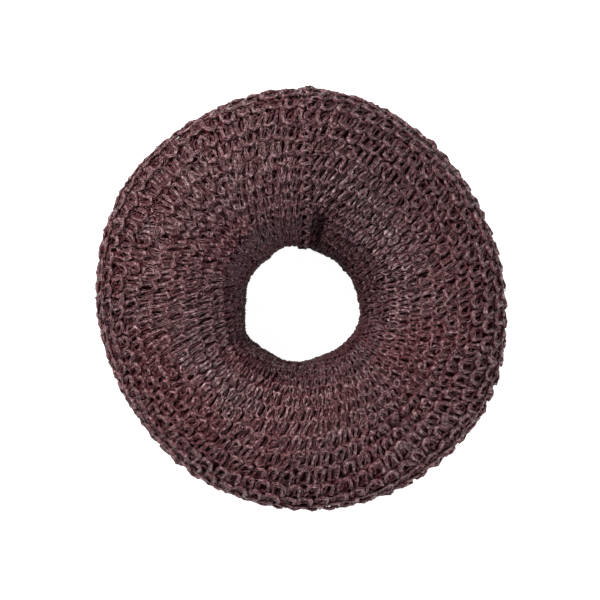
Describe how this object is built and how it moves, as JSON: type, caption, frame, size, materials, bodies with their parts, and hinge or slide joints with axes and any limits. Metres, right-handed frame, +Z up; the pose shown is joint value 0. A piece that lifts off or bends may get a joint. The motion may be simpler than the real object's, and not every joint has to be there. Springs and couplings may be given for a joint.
{
  "type": "hair donut bun maker",
  "caption": "Soft ring of coarse knitted net rolled on itself, which a ponytail is pulled through and rolled over to fill out a bun.",
  "frame": {"origin": "middle of the ring's box, on the surface that it lies on", "axes": "+Z up along the hole, +Y about to the seam at just past twelve o'clock seen from above, +X to the right of that view"},
  "size_m": [0.089, 0.0918, 0.0294],
  "materials": {
    "net_yarn": "glossy crinkled maroon-brown synthetic yarn, knitted as an open net",
    "rolled_net": "the same knitted net in many turns, dark in the shade of the outer turn",
    "seam_yarn": "the same yarn, sewn over and over"
  },
  "bodies": {
    "root": {"net_sleeve": "net_yarn", "rolled_padding": "rolled_net", "seam": "seam_yarn"}
  },
  "joints": []
}
